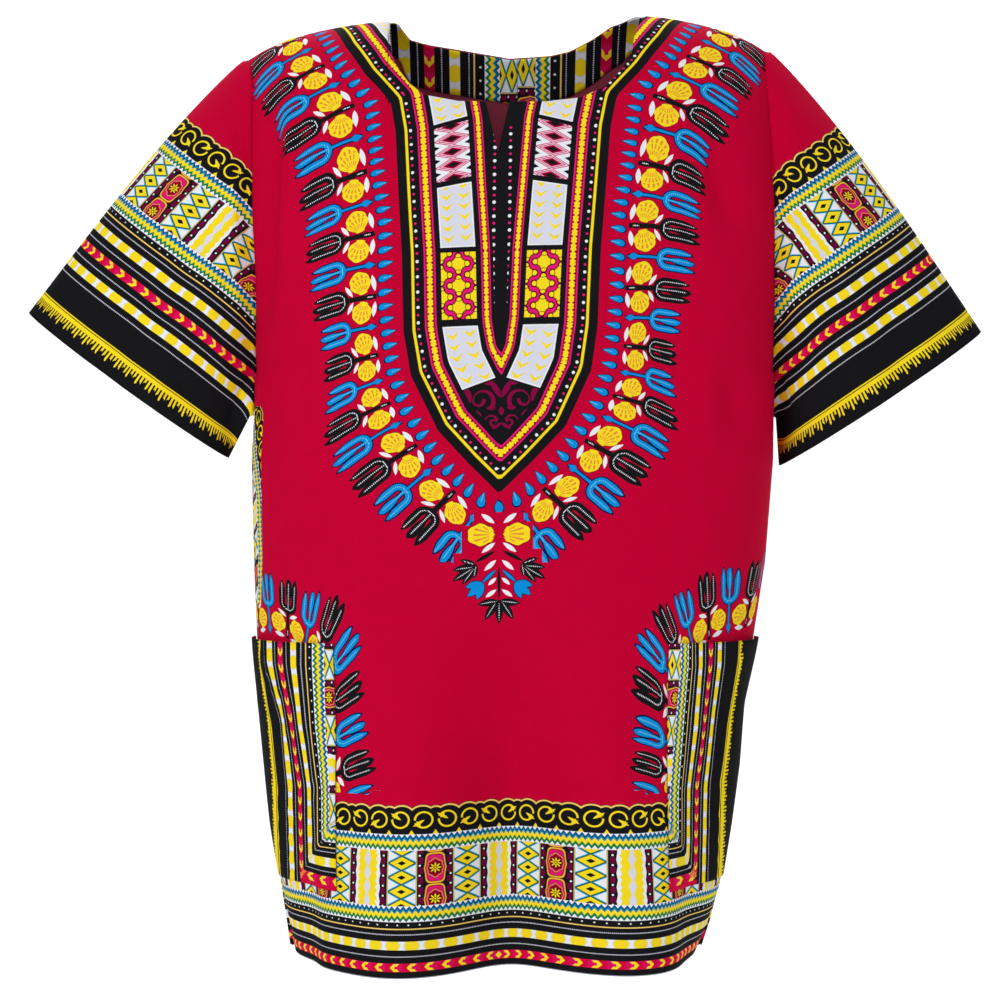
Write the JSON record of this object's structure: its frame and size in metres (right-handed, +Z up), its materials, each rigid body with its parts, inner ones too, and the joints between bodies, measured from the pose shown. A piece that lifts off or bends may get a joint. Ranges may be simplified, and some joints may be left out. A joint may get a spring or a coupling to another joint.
{
  "type": "dashiki shirt",
  "caption": "Loose pull-over shirt of printed cotton with short sleeves, a slit round neck and two patch pockets, worn open and empty.",
  "frame": {"origin": "middle of the neck opening at shoulder height, where the wearer's shoulders hold the shirt", "axes": "+Z up along the wearer, the front of the shirt faces -Y, the wearer's left is +X"},
  "size_m": [0.801, 0.2656, 0.7796],
  "materials": {
    "body_cloth": "plain-weave cotton, printed",
    "sleeve_cloth": "plain-weave cotton, printed with a border",
    "pocket_cloth": "plain-weave cotton, printed with stripes",
    "facing_cloth": "plain-weave cotton, printed with stripes"
  },
  "bodies": {
    "root": {"front_panel": "body_cloth", "back_panel": "body_cloth", "sleeve_left": "sleeve_cloth", "sleeve_right": "sleeve_cloth", "pocket_left": "pocket_cloth", "pocket_right": "pocket_cloth", "neck_facing_left": "facing_cloth", "neck_facing_right": "facing_cloth"}
  },
  "joints": []
}
